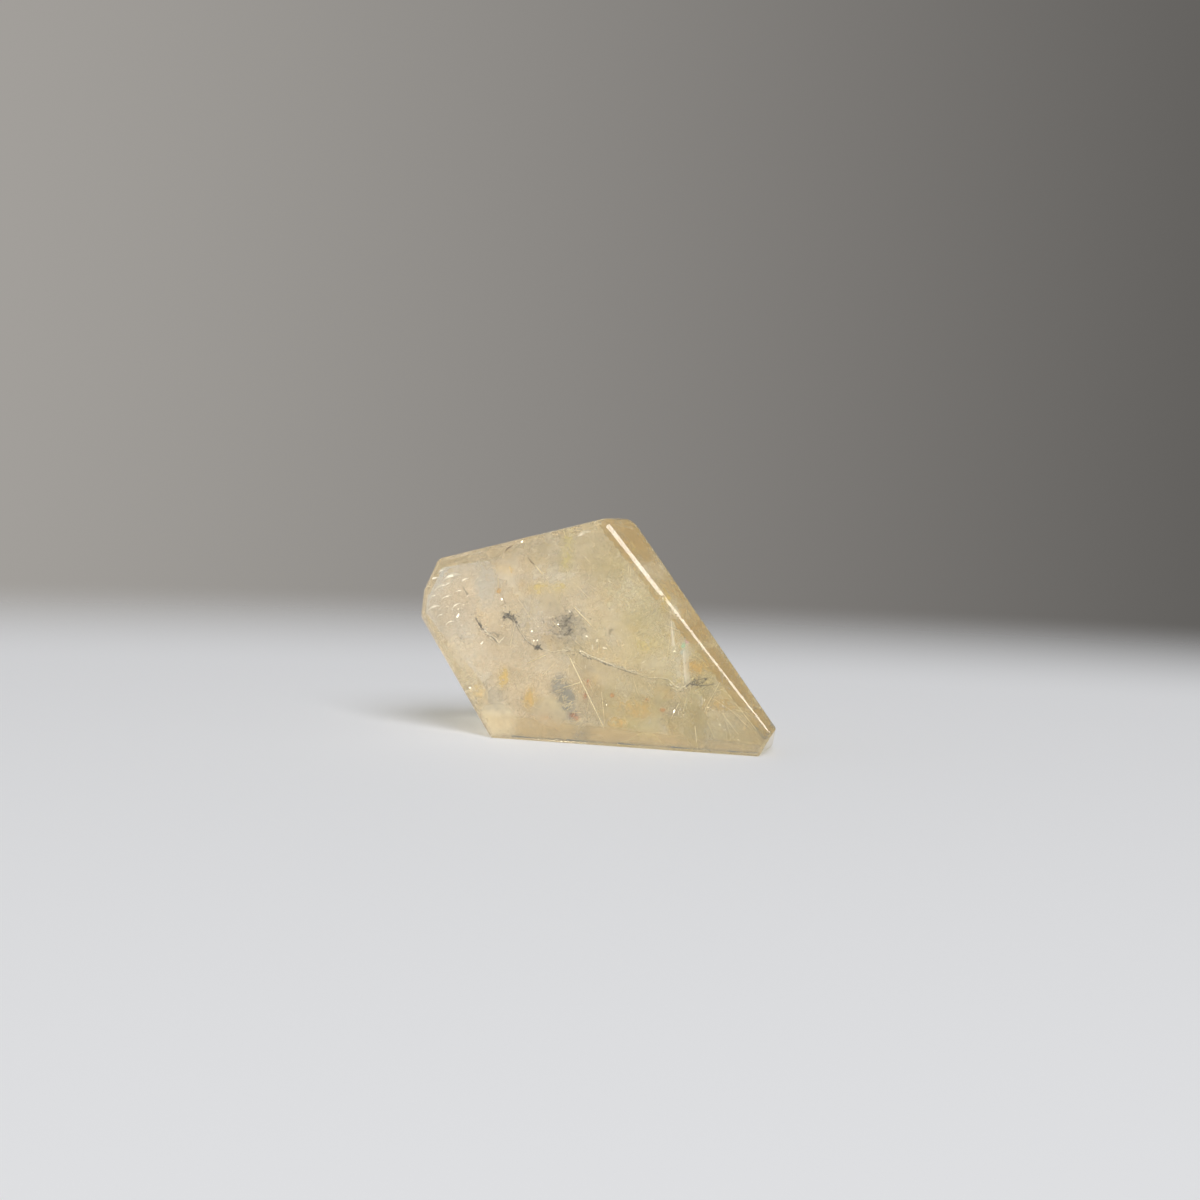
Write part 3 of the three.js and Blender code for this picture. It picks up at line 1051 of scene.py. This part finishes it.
def make_pale_marks():
    """Painted reflections in white films: soft fish-scale marks near the left end, a crescent, a pale wing; a
    streak.
    """
    random = np.random.default_rng(23)
    films, plates = Films(), Shapes()
    for number, (x, z, width) in enumerate(SCALES + [CROWN_CRESCENT]):
        turn = 0.40 + random.uniform(-0.15, 0.25)
        half = (0.70 * width, random.uniform(0.30, 0.44) * width)
        strength = random.uniform(0.75, 1.0)
        films.sheet(
            behind_front(x, z, 0.55), FRONT_NORMAL, half, step=0.035, bend=0, seed=number,
            fade=lambda u, v, s=strength: s * crescent(u, v), tint=MARK_TINT, turn=turn)
        facing = GLINT_FACING + Vector(random.normal(0, 0.05, 3))
        shift = random.uniform(-0.3, 0.3) * width
        point = behind_front(x + shift, z + 0.4 * shift + 0.08 * width, 0.5)
        if depth_inside(point) > 0.3:
            length = width * random.uniform(0.16, 0.42)
            plates.flake(point, facing, length, random.uniform(0.14, 0.34) * length, -turn)
    # The pale wing: a painted reflection of a thin crack.
    films.sheet(
        behind_front(7.7, 7.8, 0.7), FRONT_NORMAL, (0.9, 2.2), step=0.08, bend=0.1, seed=99,
        fade=wedge, tint=(1, 1, 0.97))
    films.sheet(
        behind_front(6.4, 11.0, 0.6), FRONT_NORMAL, (0.17, 1.6), step=0.04, bend=0, seed=98,
        fade=streak, tint=MARK_TINT, turn=0.2)
    films.piece(
        "pale_marks", film_material("pale_mark", None, most=1.0, scale=2500, low=0.0, high=0.40))
    look = strand_material("scale_glint", (1, 0.97, 0.92), roughness=0.45, metallic=0.15)
    plates.piece("scale_glints", look, smooth=False)


# The milky veils, from the front to the back: depth behind the front face and how they are turned,
# about the upright and up or down, in degrees.
VEILS = [
    (1.6, -4, 4), (3.0, 16, -6), (4.4, -18, 8), (5.8, 8, 14), (7.4, -8, -12), (9.0, 18, 4), (10.8, -6, 8),
]
VEIL_HALF_SIZES = (20, 13)
VEIL_STEP = 0.6
VEIL_BEND = 1.6
# A nearly level sheet just above the base, and loose clouds anywhere.
BASE_VEIL_HEIGHT = 0.6
LOOSE_CLOUDS = 4


def make_veils():
    """Wispy clouds of tiny droplets on bent sheets through the whole stone."""
    random = np.random.default_rng(31)
    films = Films()
    for number, (depth, turn, tilt) in enumerate(VEILS):
        middle = behind_front(0, 9.5, depth)
        facing = direction(FRONT_AZIMUTH + turn, FRONT_TILT + tilt)
        films.sheet(middle, facing, VEIL_HALF_SIZES, VEIL_STEP, VEIL_BEND, number, everywhere)
    films.sheet(
        (0, 0, BASE_VEIL_HEIGHT), (0.04, -0.12, 1), (18, 9), VEIL_STEP, bend=0.25, seed=30,
        fade=everywhere)
    for number in range(LOOSE_CLOUDS):
        middle = Vector(random_inside(random, 2.5))
        facing = Vector(random.normal(size=3) * (1.0, 0.5, 1.0)).normalized()
        films.sheet(
            middle, facing, (7, 7), step=0.5, bend=VEIL_BEND, seed=40 + number, fade=soft_disc(1))
    films.piece(
        "milky_veils", film_material("veil", body_tint, most=0.62, scale=300, low=0.34, high=0.70))


# The floor, in metres. It fades out between two distances from its centre.
FLOOR_RADIUS = 0.5
FLOOR_CENTRE = (0.05, -0.20)
FLOOR_FADE_START = 0.26
FLOOR_FADE_END = 0.37
FLOOR_COLOUR = (0.815, 0.845, 0.90)
FLOOR_ROUGHNESS = 0.7
# The room's greys, and the X of the directions in which it starts and ends to darken.
ROOM_PALE = (0.42, 0.40, 0.375)
ROOM_DARK = (0.075, 0.072, 0.068)
ROOM_DARKENS = (-0.65, 0.15)


def make_floor():
    """A round pale floor that fades into the room."""
    bpy.ops.mesh.primitive_circle_add(vertices=96, radius=FLOOR_RADIUS, fill_type="NGON")
    floor = bpy.context.object
    floor.name = "floor"
    floor.location = (*FLOOR_CENTRE, 0)
    material, tree, shader = new_material(
        "floor", Base_Color=(*FLOOR_COLOUR, 1), Roughness=FLOOR_ROUGHNESS)
    place = tree.nodes.new("ShaderNodeTexCoord")
    away = node(tree, "ShaderNodeVectorMath", operation="LENGTH")
    tree.links.new(place.outputs["Object"], away.inputs[0])
    fade = node(
        tree, "ShaderNodeMapRange", interpolation_type="SMOOTHSTEP", From_Min=FLOOR_FADE_START,
        From_Max=FLOOR_FADE_END, To_Min=1, To_Max=0)
    tree.links.new(away.outputs["Value"], fade.inputs["Value"])
    tree.links.new(fade.outputs["Result"], shader.inputs["Alpha"])
    floor.data.materials.append(material)


def make_room():
    """A plain grey room that darkens to the right."""
    world = bpy.data.worlds.new("room")
    world.use_nodes = True
    tree = world.node_tree
    place = tree.nodes.new("ShaderNodeTexCoord")
    axes = tree.nodes.new("ShaderNodeSeparateXYZ")
    tree.links.new(place.outputs["Generated"], axes.inputs[0])
    side = node(
        tree, "ShaderNodeMapRange", interpolation_type="SMOOTHSTEP", From_Min=ROOM_DARKENS[0],
        From_Max=ROOM_DARKENS[1])
    tree.links.new(axes.outputs["X"], side.inputs["Value"])
    shade = node(tree, "ShaderNodeMix", data_type="RGBA")
    shade.inputs[6].default_value = (*ROOM_PALE, 1)
    shade.inputs[7].default_value = (*ROOM_DARK, 1)
    tree.links.new(side.outputs["Result"], shade.inputs[0])
    tree.links.new(shade.outputs[2], tree.nodes["Background"].inputs["Color"])
    bpy.context.scene.world = world


# The one soft light: where it stands as seen from the stone, and its size in metres.
WINDOW_TOWARDS = direction(-58, 42)
WINDOW_DISTANCE = 2.0
WINDOW_SIZE = 1.1
WINDOW_WATTS = 42
WINDOW_COLOUR = (1, 0.98, 0.95)


def make_window_light():
    """A square light that faces the stone's heart."""
    data = bpy.data.lights.new("window", "AREA")
    data.shape = "RECTANGLE"
    data.size = WINDOW_SIZE
    data.size_y = WINDOW_SIZE
    data.energy = WINDOW_WATTS
    data.color = WINDOW_COLOUR
    light = bpy.data.objects.new("window", data)
    light.location = HEART * MM + WINDOW_TOWARDS * WINDOW_DISTANCE
    light.rotation_mode = "QUATERNION"
    light.rotation_quaternion = WINDOW_TOWARDS.to_track_quat("Z", "Y")
    bpy.context.collection.objects.link(light)


def set_look():
    """Plain colours, and enough bounces for the glass and the thin films in it."""
    scene = bpy.context.scene
    scene.view_settings.view_transform = "Standard"
    scene.cycles.max_bounces = 14
    scene.cycles.diffuse_bounces = 3
    scene.cycles.glossy_bounces = 5
    scene.cycles.transmission_bounces = 10
    scene.cycles.transparent_max_bounces = 48


make_camera()
make_stone()
make_fracture()
make_stains_and_painted_light()
make_painted_base_light()
make_bevel_shade()
make_needles()
make_dark_needles()
make_grains()
make_glints()
make_pale_marks()
make_veils()
make_floor()
make_room()
make_window_light()
set_look()
